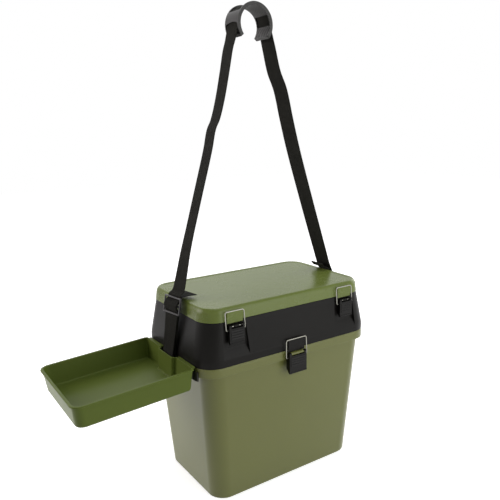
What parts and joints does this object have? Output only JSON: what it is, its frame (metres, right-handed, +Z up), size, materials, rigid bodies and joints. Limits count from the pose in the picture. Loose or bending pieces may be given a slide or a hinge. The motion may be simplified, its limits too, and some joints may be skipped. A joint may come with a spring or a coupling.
{
  "type": "fishing seat box",
  "caption": "Lidded fishing seat box with a hinged tackle case, wire draw latches, a hook-on side tray and a webbing strap with a shoulder grip.",
  "frame": {"origin": "centre of the bucket's flat underside", "axes": "+Z up, the latches face -Y, +X to the right seen from the front, the side tray hooks on at -X"},
  "size_m": [0.6282, 0.2674, 0.9128],
  "materials": {
    "olive_plastic": "moulded olive green, satin",
    "black_plastic": "moulded black, fine satin",
    "lever_plastic": "moulded black, glossy",
    "slider_plastic": "moulded black",
    "bracket_paint": "black coated steel strip",
    "steel": "bright drawn steel",
    "webbing": "dark grey woven webbing",
    "grip_plastic": "moulded dark grey, pebbled inside"
  },
  "bodies": {
    "bucket_body": {"bucket": "olive_plastic", "case_hinge_pin_left": "steel", "case_hinge_pin_right": "steel", "latch_pin_centre": "steel", "side_bracket_left": "bracket_paint", "side_bracket_right": "bracket_paint", "bracket_rivet_left_1": "steel", "bracket_rivet_left_2": "steel", "bracket_rivet_left_3": "steel", "bracket_rivet_left_4": "steel", "bracket_rivet_right_1": "steel", "bracket_rivet_right_2": "steel", "bracket_rivet_right_3": "steel", "bracket_rivet_right_4": "steel", "strap_bar_left": "steel", "strap_bar_right": "steel", "strap_slider_left": "slider_plastic", "strap_slider_right": "slider_plastic", "strap_loop_left": "webbing", "strap_loop_right": "webbing"},
    "case_body": {"case": "black_plastic", "lid_hinge_pin_left": "steel", "lid_hinge_pin_right": "steel", "latch_pin_left": "steel", "latch_pin_right": "steel"},
    "lid_body": {"lid": "olive_plastic"},
    "tray_body": {"side_tray": "olive_plastic"},
    "strap_body": {"strap_leg_left": "webbing", "strap_leg_right": "webbing", "strap_webbing_top": "webbing", "shoulder_grip": "grip_plastic"},
    "lever_left_body": {"latch_lever_left": "lever_plastic"},
    "bail_left_body": {"latch_bail_left": "steel"},
    "lever_right_body": {"latch_lever_right": "lever_plastic"},
    "bail_right_body": {"latch_bail_right": "steel"},
    "lever_centre_body": {"latch_lever_centre": "lever_plastic"},
    "bail_centre_body": {"latch_bail_centre": "steel"}
  },
  "joints": [
    {"name": "case_opening", "type": "hinge", "parent": "bucket_body", "child": "case_body", "pos_m": [0, 0.1282, 0.27605], "axis": [-1, 0, 0], "range_deg": [0, 95]},
    {"name": "lid_opening", "type": "hinge", "parent": "case_body", "child": "lid_body", "pos_m": [0, 0.1212, 0.35695], "axis": [-1, 0, 0], "range_deg": [0, 105], "deforming": ["strap_loop_left", "strap_loop_right"]},
    {"name": "latch_lever_left", "type": "hinge", "parent": "case_body", "child": "lever_left_body", "pos_m": [-0.129, -0.1212, 0.3485], "axis": [-1, 0, 0], "range_deg": [0, 150]},
    {"name": "latch_bail_left", "type": "hinge", "parent": "lever_left_body", "child": "bail_left_body", "pos_m": [-0.129, -0.1197, 0.3415], "axis": [-1, 0, 0], "range_deg": [-181, 0]},
    {"name": "latch_lever_right", "type": "hinge", "parent": "case_body", "child": "lever_right_body", "pos_m": [0.129, -0.1212, 0.3485], "axis": [-1, 0, 0], "range_deg": [0, 150]},
    {"name": "latch_bail_right", "type": "hinge", "parent": "lever_right_body", "child": "bail_right_body", "pos_m": [0.129, -0.1197, 0.3415], "axis": [-1, 0, 0], "range_deg": [-181, 0]},
    {"name": "latch_lever_centre", "type": "hinge", "parent": "bucket_body", "child": "lever_centre_body", "pos_m": [0, -0.1304, 0.2702], "axis": [-1, 0, 0], "range_deg": [0, 150]},
    {"name": "latch_bail_centre", "type": "hinge", "parent": "lever_centre_body", "child": "bail_centre_body", "pos_m": [0, -0.1289, 0.2632], "axis": [-1, 0, 0], "range_deg": [-181, 0]},
    {"name": "tray_lift", "type": "slide", "parent": "bucket_body", "child": "tray_body", "axis": [0, 0, 1], "range_m": [0, 0.04]},
    {"name": "strap_swing", "type": "hinge", "parent": "bucket_body", "child": "strap_body", "pos_m": [0, -0.0045, 0.375], "axis": [0.9967, 0.0481, -0.0658], "range_deg": [-55, 55], "deforming": ["strap_leg_left", "strap_leg_right"]}
  ],
  "couplings": [
    {"joint": "latch_bail_left", "follows": "latch_lever_left", "ratio": -1.2},
    {"joint": "latch_bail_right", "follows": "latch_lever_right", "ratio": -1.2},
    {"joint": "latch_bail_centre", "follows": "latch_lever_centre", "ratio": -1.2}
  ]
}
